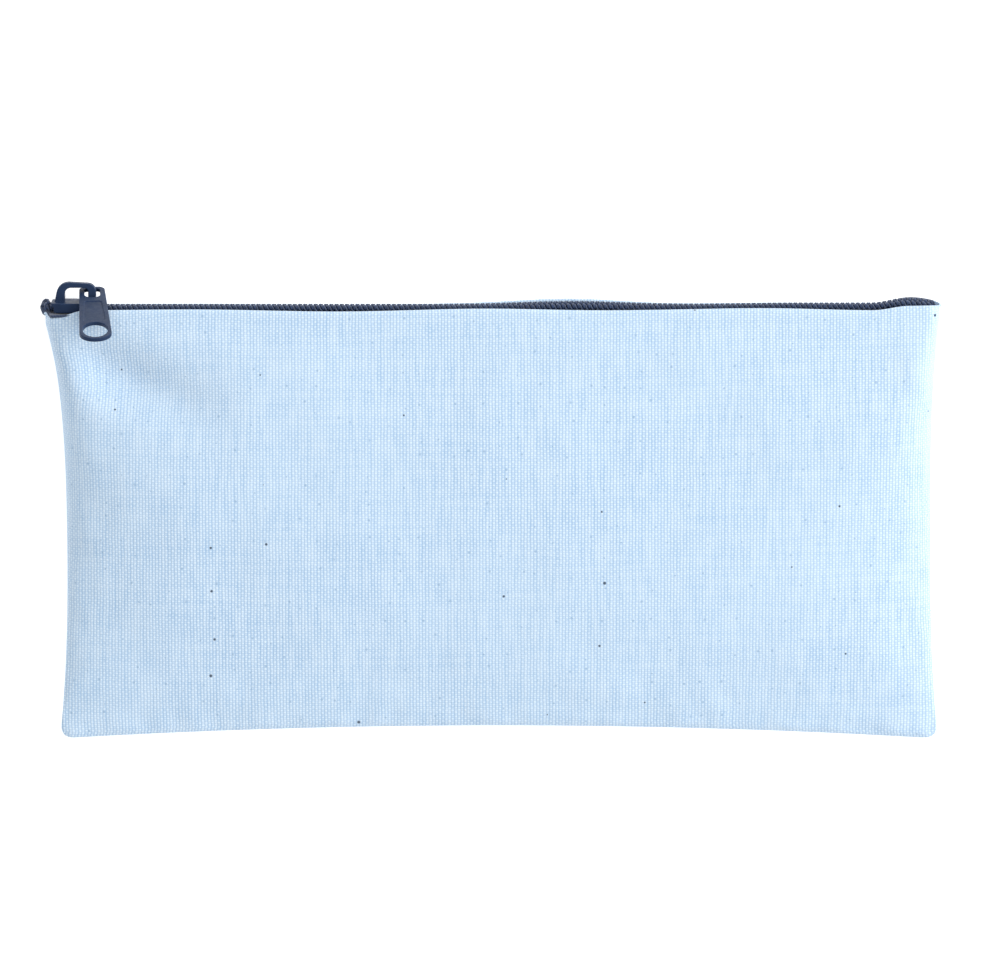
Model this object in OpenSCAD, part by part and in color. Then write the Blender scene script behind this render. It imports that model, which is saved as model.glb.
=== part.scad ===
// Flat zipped pencil case of cotton canvas, lying on its back panel.
// X runs along the zip, Y runs from the bottom seam up to the zip, and Z is up through the thickness.
// The origin lies on the underside, in the middle of the back panel's resting area.

/* [Pouch] */
// Width between the side seams, at mid height
body_w = 199; // [150:1:300]
// Height from the bottom seam to the zip
body_h = 98; // [70:1:140]
// Thickness of the canvas
cloth = 0.5; // [0.4:0.1:0.8]
// Thickness of the pouch at its fullest
belly = 14.5; // [14.5:0.5:24]
// How far the upper left corner is drawn out past the left seam
left_flare = 3; // [0:0.5:6]
// How far the lower corners stand out past the middle of each side
corner_flare = 1.8; // [0:0.1:3]
// How far the middle of the bottom edge is drawn up
bottom_rise = 3; // [0:0.5:6]
// Width of the seam allowance that is turned inside
allowance = 8; // [6:0.5:12]
// Width of the turned hem along each side of the zip
hem = 8; // [6:0.5:12]

/* [Zip] */
// How far the zip leans back from upright
zip_lean = 10; // [5:1:15]
// Thickness of the woven zip tape
tape = 0.5; // [0.4:0.1:0.7]
// Width of the closed chain of coils
chain_w = 4.2; // [3.6:0.1:5]
// Height of the coils above the tape
coil_h = 1.4; // [1:0.1:1.8]
// Distance from one coil loop to the next
coil_pitch = 1.2; // [1:0.1:2]
// Length of the zip tab that stands out past the upper left corner
tab_l = 1.3; // [0:0.1:5]

/* [Slider] */
// Width of the slider across its shoulders
slider_w = 8.6; // [8:0.1:10]
// Length of the slider along the zip
slider_l = 12.4; // [12:0.1:14]
// Thickness of the slider's two plates
plate = 0.8; // [0.6:0.1:1.2]
// Width of the bridge that holds the puller
bridge_w = 2.2; // [2:0.1:3]
// Thickness of the bridge
bridge_t = 1.4; // [1:0.1:2]
// Room under the bridge
bridge_room = 3.2; // [3.2:0.1:4]

/* [Puller] */
// Length of the puller
puller_l = 28.5; // [22:0.5:36]
// Width of the puller at its round end
puller_w = 7.6; // [7:0.1:10]
// Width of the puller at its eye
eye_w = 5.8; // [5.6:0.1:7]
// Thickness of the puller
puller_t = 0.9; // [0.8:0.1:1.1]
// How far the puller tips down towards the front panel
puller_tip = 16; // [10:1:17]
// How far the puller is turned towards the closed side of the zip
puller_turn = 5; // [0:1:12]

/* [Thread] */
// Thickness of the sewing thread
thread = 0.4; // [0.3:0.1:0.6]
// Length of one stitch
stitch = 3; // [2:0.5:5]

/* [Hidden] */
$fn = 48;

canvas_blue = [0.78, 0.87, 0.96];
tape_navy = [0.25, 0.31, 0.40];
thread_blue = [0.72, 0.82, 0.93];
slider_slate = [0.40, 0.46, 0.56];

// Clearance between the slider and what it runs along
run = 0.35;
// Clearance between layers of cloth that lie on each other
lay = 0.05;
// Half the gap down the middle of the zip, where the slider's wedge runs
mid_gap = 0.65;

front = 1;
back = -1;

// Half the width of the tape's tab, and the width of the coil that stays against the tape
tab_half = 3;
coil_spine = 0.5;

// Distances from the zip's middle line, across the tape
hem_edge = slider_w / 2 + run + 0.1;
tape_edge = hem_edge + 0.4;
// Height of the zip's middle line: cloth, hem, tape and half the strip lie under it
zip_z = 2 * cloth + 2 * lay + tape + tape_edge * cos(zip_lean);
mouth_h = 2 * zip_z;
mid_y = body_h / 2;
zip_y = body_h - mid_y;

// Points across the zip: across runs towards the front panel, out runs away from the pouch
function zip_point(across, out) = [
    zip_y - across * sin(zip_lean) + out * cos(zip_lean),
    zip_z + across * cos(zip_lean) + out * sin(zip_lean)];

// The pouch's outline. high is 0 at the bottom seam and 1 at the zip, side is -1 at the left and 1 at the right
function corner_out(high) = corner_flare * pow(abs(2 * high - 1), 3);
function left_x(high, inset) = inset - body_w / 2 - corner_out(high) - left_flare * pow(high, 4);
function right_x(high, inset) = body_w / 2 + corner_out(high) - inset;
function bottom_y(side, inset) = inset - mid_y + bottom_rise * (1 - side * side);
function sheet_x(side, high, inset) =
    left_x(high, inset) + (right_x(high, inset) - left_x(high, inset)) * (side + 1) / 2;
function sheet_y(side, high, inset) =
    bottom_y(side, inset) + high * (panel_top - bottom_y(side, inset));
panel_top = zip_point(tape_edge, 0)[0];

// Height of the seam, of the full middle and of the wall that closes each side
low_seam = 2 * cloth + 0.6;
function seam_z(high) = low_seam + (zip_z - low_seam) * pow(high, 8);
function ridge(high) = low_seam + (belly - low_seam) * (1 - pow(1 - high, 3.2))
    - (belly - mouth_h) * pow(high, 4);
function wall(side, high) = pow(max(0, 1 - pow(abs(side), 4 + 116 * pow(high, 6))), 0.45);
function front_z(side, high, inset) =
    let (drop = inset * (1 - pow(1 - high, 40)))
    seam_z(high) + max(0, ridge(high) - drop - seam_z(high)) * wall(side, high);
// The back panel lies flat, and rolls up to the seam at its edges
function roll(high) = 6 - 4.8 * pow(high, 4);
function edge_gap(side, high) = min(
    sheet_x(side, high, 0) - left_x(high, 0), right_x(high, 0) - sheet_x(side, high, 0),
    sheet_y(side, high, 0) - bottom_y(side, 0));
function back_z(side, high, inset) =
    let (in = max(0, min(1, edge_gap(side, high) / roll(high))), rise = 1 - sqrt(1 - pow(1 - in, 2)))
    inset + (seam_z(high) - inset) * rise;

sheet_cols = 30;
sheet_rows = 14;
function col_side(c) = sin(90 * (2 * c / sheet_cols - 1));
function row_high(r) = pow(r / sheet_rows, 1.5);

module sheet(which) {
    row_n = sheet_cols + 1;
    layer_n = row_n * (sheet_rows + 1);
    points = [for (inset = [0, cloth]) for (r = [0 : sheet_rows]) for (c = [0 : sheet_cols])
        let (side = col_side(c), high = row_high(r))
        [sheet_x(side, high, inset), sheet_y(side, high, inset),
            which == front ? front_z(side, high, inset) : back_z(side, high, inset)]];
    function at(layer, r, c) = layer * layer_n + r * row_n + c;
    function turned(quad) = which == front ? quad : [for (i = [3 : -1 : 0]) quad[i]];
    function halves(quad) = [[quad[0], quad[1], quad[2]], [quad[0], quad[2], quad[3]]];
    quads = concat(
        [for (r = [0 : sheet_rows - 1]) for (c = [0 : sheet_cols - 1])
            [at(0, r, c), at(0, r + 1, c), at(0, r + 1, c + 1), at(0, r, c + 1)]],
        [for (r = [0 : sheet_rows - 1]) for (c = [0 : sheet_cols - 1])
            [at(1, r, c), at(1, r, c + 1), at(1, r + 1, c + 1), at(1, r + 1, c)]],
        [for (c = [0 : sheet_cols - 1]) [at(0, 0, c), at(0, 0, c + 1), at(1, 0, c + 1), at(1, 0, c)]],
        [for (c = [0 : sheet_cols - 1]) [at(0, sheet_rows, c + 1), at(0, sheet_rows, c),
            at(1, sheet_rows, c), at(1, sheet_rows, c + 1)]],
        [for (r = [0 : sheet_rows - 1]) [at(0, r + 1, 0), at(0, r, 0), at(1, r, 0), at(1, r + 1, 0)]],
        [for (r = [0 : sheet_rows - 1]) [at(0, r, sheet_cols), at(0, r + 1, sheet_cols),
            at(1, r + 1, sheet_cols), at(1, r, sheet_cols)]]);
    polyhedron(points, [for (quad = quads) each halves(turned(quad))]);
}

// Draws a shape given in Y and Z along X
module along_x(from, to) {
    translate([from, 0, 0]) rotate([90, 0, 90]) linear_extrude(to - from) children();
}

// Draws in the zip's own frame: X along the zip, Y towards the back panel, Z outwards
module on_zip() {
    translate([0, zip_y, zip_z]) rotate([zip_lean - 90, 0, 0]) children();
}

// The allowance that is turned inside along both sides and the bottom, as a flat strip
module allowance_strip(from_z) {
    steps = [for (i = [0 : 12]) i / 12];
    function outline(inset, top) = concat(
        [for (s = steps) [left_x(top * (1 - s), inset), sheet_y(-1, top * (1 - s), inset)]],
        [for (s = steps) [sheet_x(2 * s - 1, 0, inset), bottom_y(2 * s - 1, inset)]],
        [for (s = steps) [right_x(top * s, inset), sheet_y(1, top * s, inset)]]);
    translate([0, 0, from_z]) linear_extrude(cloth) difference() {
        polygon(outline(cloth + lay, 0.7));
        polygon(outline(allowance, 0.8));
    }
}

strip_from = left_x(1, 0) + cloth + run;
strip_to = right_x(1, 0) - cloth - run;
// The hems end where the side seams meet their inner edge
hem_high = 1 - hem / body_h;
hem_from = left_x(hem_high, 0);
hem_to = right_x(hem_high, 0);
// Length at each end where the tape has no part under the hem, because the side walls close there
corner_room = 4.5;

// Half of the zip's strip of tape, with the part that lies under the hem
module tape_half(which) {
    foot_z = which == front ? mouth_h - 2 * cloth - lay : 2 * cloth + lay;
    foot_y = zip_point(which * tape_edge, 0)[0] - hem;
    inner_z = foot_z - (which == front ? tape : -tape);
    module flat_strip(from, to, half) {
        along_x(from, to) polygon([
            zip_point(which * mid_gap, -tape / 2), zip_point(which * half, -tape / 2),
            zip_point(which * half, tape / 2), zip_point(which * mid_gap, tape / 2)]);
    }
    flat_strip(strip_from, strip_to, hem_edge);
    along_x(strip_from + corner_room, strip_to - corner_room) polygon([
        zip_point(which * mid_gap, -tape / 2), zip_point(which * tape_edge, -tape / 2),
        [foot_y, inner_z], [foot_y, foot_z],
        zip_point(which * (tape_edge + tape / 2), tape / 2), zip_point(which * mid_gap, tape / 2)]);
    // The tab past the corner
    flat_strip(strip_from - tab_l - cloth - run, strip_from, tab_half);
}

// One coil: a spine against the tape, with a row of loop heads that reach for the middle
module coil_half(which) {
    count = floor((strip_to - strip_from - coil_pitch) / coil_pitch);
    shift = which == front ? 0 : coil_pitch / 2;
    edge = -which * chain_w / 2;
    root = edge + which * coil_spine;
    head = -which * mid_gap;
    slope = coil_pitch / 10;
    on_zip() translate([0, 0, tape / 2]) linear_extrude(coil_h) polygon(concat(
        [[strip_from, edge]],
        [for (i = [0 : count - 1]) let (x = strip_from + shift + i * coil_pitch)
            each [[x, root], [x + slope, head],
                [x + coil_pitch / 2 - slope, head], [x + coil_pitch / 2, root]]],
        [[strip_to, root], [strip_to, edge]]));
}

// The thread that holds a coil to its tape: two runs on the tape's inner face
module coil_thread(which) {
    on_zip() for (across = [chain_w / 4, chain_w * 0.42])
        translate([strip_from, -which * across - thread / 4, -tape / 2 - thread / 2])
            cube([strip_to - strip_from, thread / 2, thread / 2]);
}

// One lockstitch through layers of cloth: thread above and below, and a leg at each end
module lockstitch(depth) {
    for (level = [0, depth + thread]) translate([0, -thread / 2, level]) cube([stitch, thread, thread]);
    for (x = [0, stitch - thread]) translate([x, -thread / 2, 0]) cube([thread, thread, depth + 2 * thread]);
}

// The thread that holds a hem to the tape under it
module zip_seam(which) {
    seam_y = zip_point(which * tape_edge, 0)[0] - hem / 2;
    low_z = which == front ? mouth_h - 2 * cloth - lay - tape - thread : cloth;
    count = floor((strip_to - strip_from - 4 * stitch) / stitch);
    for (i = [0 : count]) translate([strip_from + (i + 1.5) * stitch, seam_y, low_z])
        lockstitch(tape + lay + cloth - thread);
}

// The thread through both allowances of a side
module side_seam(side) {
    count = floor(body_h * 0.52 / stitch);
    for (i = [0 : count]) translate([side * (body_w / 2 - allowance / 2),
        bottom_y(0, 0) + allowance + i * stitch, low_seam - cloth - thread])
        rotate([0, 0, 90]) lockstitch(2 * cloth);
}

// The thread through both allowances of the bottom, which follows the drawn up edge
module bottom_thread() {
    count = floor((body_w - 2 * allowance) / stitch / 2);
    for (i = [-count : count - 1]) let (side = i * stitch / (body_w / 2))
        translate([i * stitch, bottom_y(side, allowance / 2), low_seam - cloth - thread])
            rotate([0, 0, atan(-2 * bottom_rise * side / (body_w / 2))]) lockstitch(2 * cloth);
}

// A polygon with rounded corners, from a list of [x, y, corner radius] that runs clockwise or anticlockwise
function unit(v) = v / norm(v);
function corner(before, at, after, r) =
    let (p = [at[0], at[1]],
        u = unit([before[0], before[1]] - p), v = unit([after[0], after[1]] - p),
        half = acos(u * v) / 2, mid = p + unit(u + v) * r / sin(half),
        a = p + u * r / tan(half) - mid, b = p + v * r / tan(half) - mid,
        from = atan2(a[1], a[0]), turn = atan2(a[0] * b[1] - a[1] * b[0], a * b), steps = 8)
    [for (i = [0 : steps]) mid + r * [cos(from + turn * i / steps), sin(from + turn * i / steps)]];
function rounded(path) = let (n = len(path))
    [for (i = [0 : n - 1]) each corner(path[(i + n - 1) % n], path[i], path[(i + 1) % n], path[i][2])];

// The slider's plates are wide at the shoulders, where the two coils part, and narrow at the tail
tail_w = slider_w - 1;
under_z = -tape / 2 - thread / 2 - run;
over_z = tape / 2 + coil_h + run;
bridge_from = 0.8 - slider_l / 2;
bridge_to = slider_l / 2 - 2.1;
bridge_leg = 1.8;
bridge_top = bridge_room + bridge_t + 0.1;
pivot_x = bridge_to - bridge_leg / 2;
pivot_z = over_z + plate + bridge_room / 2 + 0.25;
slider_x = strip_from + 0.5 + slider_l / 2;

module slider_outline(inset) {
    half_l = slider_l / 2 - inset;
    shoulder = slider_w / 2 - inset;
    tail = tail_w / 2 - inset;
    polygon(rounded([[-half_l, -shoulder * 0.75, 1], [-half_l * 0.6, -shoulder, 2], [half_l, -tail, 1],
        [half_l, tail, 1], [-half_l * 0.6, shoulder, 2], [-half_l, shoulder * 0.75, 1]]));
}

module slider_body() {
    flange = 0.7;
    wedge_half = mid_gap - run;
    translate([slider_x, 0, 0]) {
        translate([0, 0, under_z - plate]) linear_extrude(plate) slider_outline(0);
        translate([0, 0, over_z]) linear_extrude(plate) slider_outline(0);
        // Flanges that wrap the coils and leave a slot for the tape
        translate([0, 0, tape / 2 + run]) linear_extrude(over_z - tape / 2 - run) difference() {
            slider_outline(0);
            polygon([[-slider_l, flange - slider_w / 2], [slider_l, flange - tail_w / 2],
                [slider_l, tail_w / 2 - flange], [-slider_l, slider_w / 2 - flange]]);
        }
        // Wedge that parts the two coils and joins the plates
        translate([0, 0, under_z - plate / 2]) linear_extrude(over_z - under_z + plate)
            translate([0.6 - slider_l / 2, -wedge_half]) square([3, 2 * wedge_half]);
        // Bridge
        translate([0, bridge_w / 2, over_z + plate - 0.1]) rotate([90, 0, 0]) linear_extrude(bridge_w)
            difference() {
                polygon(rounded([[bridge_from, 0, 0.05], [bridge_from + 0.9, bridge_top, 2.8],
                    [bridge_to, bridge_top - 0.5, 1.9], [bridge_to, 0, 0.05]]));
                polygon(rounded([[bridge_from + 2.4, -1, 0.1], [bridge_from + 2.3, bridge_top - bridge_t, 1.4],
                    [bridge_to - bridge_leg, bridge_top - bridge_t, 0.8], [bridge_to - bridge_leg, -1, 0.1]]));
            }
    }
}

// The puller, flat, with its eye round the bridge's leg at the origin and its round end towards -Y
module puller_plate() {
    half_eye = eye_w / 2;
    half_end = puller_w / 2;
    arm = 1.1;
    bar = 1;
    play = 0.6;
    rim = 0.95;
    near = bridge_w / 2 + play;
    end_y = near + bar - puller_l;
    // The hole is longer than it is wide
    hole_half = half_end - rim;
    hole_long = 1.4;
    recess_y = end_y + rim + 2 * hole_half * hole_long + 0.8;
    difference() {
        linear_extrude(puller_t, center = true)
            polygon(rounded([[-half_eye, near + bar, 1.6], [half_eye, near + bar, 1.6],
                [half_end, end_y, half_end * 0.95], [-half_end, end_y, half_end * 0.95]]));
        linear_extrude(2 * puller_t, center = true)
            polygon(rounded([[arm - half_eye, near, 0.9], [half_eye - arm, near, 0.9],
                [half_eye - arm, -near - 1.4, 1.5], [arm - half_eye, -near - 1.4, 1.5]]));
        translate([0, end_y + rim + hole_half * hole_long, 0]) scale([1, hole_long, 1])
            cylinder(h = 2 * puller_t, r = hole_half, center = true);
        for (face = [-1, 1]) translate([0, 0, face * puller_t / 2]) linear_extrude(0.4, center = true)
            polygon(rounded([[rim - half_eye, -5.2, 0.8], [half_eye - rim, -5.2, 0.8],
                [half_end - rim - 0.3, recess_y, 0.8], [rim + 0.3 - half_end, recess_y, 0.8]]));
    }
}

module front_panel() {
    color(canvas_blue) {
        sheet(front);
        allowance_strip(low_seam);
        // The hem that is turned under beside the zip
        along_x(hem_from, hem_to) polygon([
            zip_point(hem_edge, tape / 2 + lay), zip_point(hem_edge, tape / 2 + lay + 2 * cloth),
            [panel_top + 0.4, mouth_h], [panel_top - 0.3, mouth_h], [panel_top - 0.3, mouth_h - cloth],
            [panel_top - hem, mouth_h - cloth], [panel_top - hem, mouth_h - 2 * cloth],
            zip_point(tape_edge + tape / 2 + lay, tape / 2 + lay)]);
    }
}
module back_panel() {
    hem_y = zip_point(-hem_edge, tape / 2 + lay + 2 * cloth)[0];
    color(canvas_blue) {
        sheet(back);
        allowance_strip(low_seam - cloth);
        along_x(hem_from, hem_to) polygon([
            [panel_top - hem, 2 * cloth], [zip_point(-tape_edge, 0)[0], 2 * cloth],
            zip_point(-tape_edge - tape / 2 - lay, tape / 2 + lay), zip_point(-hem_edge, tape / 2 + lay),
            zip_point(-hem_edge, tape / 2 + lay + 2 * cloth), [hem_y, cloth], [hem_y - cloth, 0],
            [panel_top - 0.3, 0], [panel_top - 0.3, cloth], [panel_top - hem, cloth]]);
    }
}
module front_tape() { color(tape_navy) tape_half(front); }
module back_tape() { color(tape_navy) tape_half(back); }
module front_coil() { color(tape_navy) coil_half(front); }
module back_coil() { color(tape_navy) coil_half(back); }
module front_coil_thread() { color(tape_navy) coil_thread(front); }
module back_coil_thread() { color(tape_navy) coil_thread(back); }
module front_zip_seam() { color(thread_blue) zip_seam(front); }
module back_zip_seam() { color(thread_blue) zip_seam(back); }
module left_seam() { color(thread_blue) side_seam(-1); }
module right_seam() { color(thread_blue) side_seam(1); }
module bottom_seam() { color(thread_blue) bottom_thread(); }
module slider() { color(slider_slate) on_zip() slider_body(); }
module puller() {
    color(slider_slate) on_zip() translate([slider_x + pivot_x, 0, pivot_z])
        rotate([puller_tip, 0, 0]) rotate([0, 0, puller_turn]) puller_plate();
}

front_panel();
back_panel();
front_tape();
back_tape();
front_coil();
back_coil();
front_coil_thread();
back_coil_thread();
front_zip_seam();
back_zip_seam();
left_seam();
right_seam();
bottom_seam();
slider();
puller();
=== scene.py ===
"""A zipped cotton pencil case, lying on its back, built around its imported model."""

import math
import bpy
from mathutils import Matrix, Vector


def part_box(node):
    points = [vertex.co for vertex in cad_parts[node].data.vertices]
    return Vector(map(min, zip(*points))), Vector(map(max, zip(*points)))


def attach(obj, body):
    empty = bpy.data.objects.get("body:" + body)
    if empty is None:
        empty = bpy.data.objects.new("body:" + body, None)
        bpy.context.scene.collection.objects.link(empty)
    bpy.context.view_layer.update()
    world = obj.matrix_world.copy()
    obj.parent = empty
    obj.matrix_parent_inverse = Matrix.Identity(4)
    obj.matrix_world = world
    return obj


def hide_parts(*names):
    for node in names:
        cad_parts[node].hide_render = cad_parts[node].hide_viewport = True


bl_info = {
    "name": "Zipped canvas pencil case",
    "version": (1, 0, 0),
    "blender": (4, 5, 0),
    "location": "View3D > Sidebar > Pencil Case",
    "description": "Builds the canvas pouch, its coil zip, the slider and the puller",
    "category": "Object",
}

import bmesh
import bpy
import numpy as np
from mathutils import Vector, noise

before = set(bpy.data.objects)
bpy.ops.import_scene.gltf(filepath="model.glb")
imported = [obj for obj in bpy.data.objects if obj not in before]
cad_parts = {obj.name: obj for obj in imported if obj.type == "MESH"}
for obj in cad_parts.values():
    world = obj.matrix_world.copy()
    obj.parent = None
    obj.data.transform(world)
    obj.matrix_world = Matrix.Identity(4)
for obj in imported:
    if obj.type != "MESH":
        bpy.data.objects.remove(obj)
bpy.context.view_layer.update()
panel_low, panel_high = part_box("front_panel")
coil_low, coil_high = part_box("front_coil")
back_coil_low, back_coil_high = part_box("back_coil")
tape_low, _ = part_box("front_tape")


class CanvasSizes(bpy.types.PropertyGroup):
    """Sizes and colour of the sewn canvas"""
    thickness: bpy.props.FloatProperty(
        name="Thickness", description="Thickness of the canvas", default=0.0005, unit="LENGTH")
    belly: bpy.props.FloatProperty(
        name="Belly", description="Height of the fullest place", default=panel_high.z, unit="LENGTH")
    left_flare: bpy.props.FloatProperty(
        name="Left flare", description="How far the upper left corner is drawn out", default=0.003, unit="LENGTH")
    corner_flare: bpy.props.FloatProperty(
        name="Corner flare", description="How far the lower corners stand out", default=0.0018, unit="LENGTH")
    bottom_rise: bpy.props.FloatProperty(
        name="Bottom rise", description="How far the bottom edge is drawn up", default=0.003, unit="LENGTH")
    warp_pitch: bpy.props.FloatProperty(
        name="Warp pitch", description="Distance between warp yarns", default=0.00073, unit="LENGTH")
    weft_pitch: bpy.props.FloatProperty(
        name="Weft pitch", description="Distance between weft yarns", default=0.000535, unit="LENGTH")
    colour: bpy.props.FloatVectorProperty(
        name="Colour", description="Colour of the canvas", subtype="COLOR", size=4,
        default=(0.68, 0.82, 0.95, 1.0))


class ZipSizes(bpy.types.PropertyGroup):
    """Sizes and colours of the zip"""
    lean: bpy.props.FloatProperty(
        name="Lean", description="How far the zip leans back", default=math.radians(10), subtype="ANGLE")
    pitch: bpy.props.FloatProperty(
        name="Coil pitch", description="Distance between the loops of one coil", default=0.0012, unit="LENGTH")
    chain_width: bpy.props.FloatProperty(
        name="Chain width", description="Width of the closed chain", default=0.0042, unit="LENGTH")
    coil_height: bpy.props.FloatProperty(
        name="Coil height", description="Height of the coils above the tape", default=0.0014, unit="LENGTH")
    filament: bpy.props.FloatProperty(
        name="Filament", description="Thickness of the wound filament", default=0.0007, unit="LENGTH")
    tape_colour: bpy.props.FloatVectorProperty(
        name="Tape colour", description="Colour of the tape", subtype="COLOR", size=4,
        default=(0.042, 0.066, 0.130, 1.0))
    coil_colour: bpy.props.FloatVectorProperty(
        name="Coil colour", description="Colour of the coils", subtype="COLOR", size=4,
        default=(0.032, 0.052, 0.112, 1.0))
    metal_colour: bpy.props.FloatVectorProperty(
        name="Slider colour", description="Colour of the slider and puller", subtype="COLOR", size=4,
        default=(0.018, 0.036, 0.085, 1.0))


class StageSizes(bpy.types.PropertyGroup):
    """Camera and light"""
    camera_height: bpy.props.FloatProperty(
        name="Camera height", description="Height of the camera above the floor", default=1.6, unit="LENGTH")
    picture_width: bpy.props.FloatProperty(
        name="Picture width", description="Width that the picture takes in at the height of the zip",
        default=0.230, unit="LENGTH")
    light: bpy.props.FloatProperty(
        name="Light", description="Strength of the studio light", default=1.0)


# ---------------------------------------------------------------- helpers

def settings():
    """The user's sizes for the canvas, the zip and the stage."""
    scene = bpy.context.scene
    return scene.case_canvas, scene.case_zip, scene.case_stage


def zip_middle():
    """Middle of the zip's strip, in Y and Z: halfway between the two coils, on the tape."""
    _, z, _ = settings()
    out = Vector((0, math.cos(z.lean), math.sin(z.lean)))
    middle = Vector((0, (coil_low.y + back_coil_high.y) / 2, (coil_high.z + back_coil_low.z) / 2))
    return middle - out * (z.coil_height / 2)


def strip_edge(across):
    """Y of a line that lies on the zip's strip, across from its middle towards the front panel."""
    _, z, _ = settings()
    return zip_middle().y - across * math.sin(z.lean)


def make_mesh(name, vertices, faces, maps=None):
    """A smooth shaded mesh object, with a UV map for each entry of maps."""
    mesh = bpy.data.meshes.new(name)
    mesh.from_pydata([tuple(v) for v in vertices], [], [tuple(int(i) for i in f) for f in faces])
    for label, uv in (maps or {}).items():
        layer = mesh.uv_layers.new(name=label)
        loops = np.zeros(len(mesh.loops), np.int64)
        mesh.loops.foreach_get("vertex_index", loops)
        layer.data.foreach_set("uv", np.asarray(uv, np.float32).reshape(-1, 2)[loops].ravel())
    mesh.polygons.foreach_set("use_smooth", [True] * len(mesh.polygons))
    mesh.update()
    obj = bpy.data.objects.new(name, mesh)
    bpy.context.scene.collection.objects.link(obj)
    return obj


def grid_faces(rows, cols, flip):
    """Quads of a grid of points, turned round where flip is true."""
    r, c = np.meshgrid(np.arange(rows - 1), np.arange(cols - 1), indexing="ij")
    a = (r * cols + c).ravel()
    quads = np.stack([a, a + 1, a + cols + 1, a + cols], 1)
    return quads[:, ::-1] if flip else quads


def finish_mesh(obj):
    """Applies the modifiers and leaves a plain mesh."""
    graph = bpy.context.evaluated_depsgraph_get()
    mesh = bpy.data.meshes.new_from_object(obj.evaluated_get(graph))
    obj.modifiers.clear()
    old = obj.data
    obj.data = mesh
    bpy.data.meshes.remove(old)
    obj.data.name = obj.name
    return obj


def set_up(obj, material, body, node):
    """Gives a piece its material and its body, and hides the CAD node that it stands for."""
    obj.data.materials.clear()
    obj.data.materials.append(material)
    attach(obj, body)
    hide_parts(node)


# ---------------------------------------------------------------- node groups and materials

def new_group(name, inputs, outputs):
    """A shader node group with named sockets, and its input and output nodes."""
    group = bpy.data.node_groups.new(name, "ShaderNodeTree")
    for label, kind, value in inputs:
        socket = group.interface.new_socket(label, in_out="INPUT", socket_type=kind)
        if value is not None:
            socket.default_value = value
    for label, kind in outputs:
        group.interface.new_socket(label, in_out="OUTPUT", socket_type=kind)
    return group, group.nodes.new("NodeGroupInput"), group.nodes.new("NodeGroupOutput")


def math_node(tree, operation, a, b=None, clamp=False):
    """The result of a Math node. Each term is a number or a socket."""
    node = tree.nodes.new("ShaderNodeMath")
    node.operation = operation
    node.use_clamp = clamp
    for i, value in enumerate((a, b)):
        if value is None:
            continue
        if isinstance(value, (int, float)):
            node.inputs[i].default_value = value
        else:
            tree.links.new(value, node.inputs[i])
    return node.outputs[0]


def map_range(tree, value, low, high, to_low, to_high):
    """Maps low and high to to_low and to_high, and holds the value between them."""
    node = tree.nodes.new("ShaderNodeMapRange")
    tree.links.new(value, node.inputs["Value"])
    for label, number in (("From Min", low), ("From Max", high), ("To Min", to_low), ("To Max", to_high)):
        node.inputs[label].default_value = number
    return node.outputs[0]


def noise_node(tree, vector, scale, detail, output="Fac"):
    """Soft noise, with scale features in a metre."""
    node = tree.nodes.new("ShaderNodeTexNoise")
    node.inputs["Scale"].default_value = scale
    node.inputs["Detail"].default_value = detail
    tree.links.new(vector, node.inputs["Vector"])
    return node.outputs[output]


def stretched(tree, vector, factors):
    """A vector with each of its parts multiplied."""
    node = tree.nodes.new("ShaderNodeVectorMath")
    node.operation = "MULTIPLY"
    tree.links.new(vector, node.inputs[0])
    node.inputs[1].default_value = factors
    return node.outputs[0]


def ridges(tree, value, width):
    """Rounded ridges of a width along a value."""
    turns = math_node(tree, "MULTIPLY", value, math.pi / width)
    return math_node(tree, "ABSOLUTE", math_node(tree, "SINE", turns))


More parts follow.
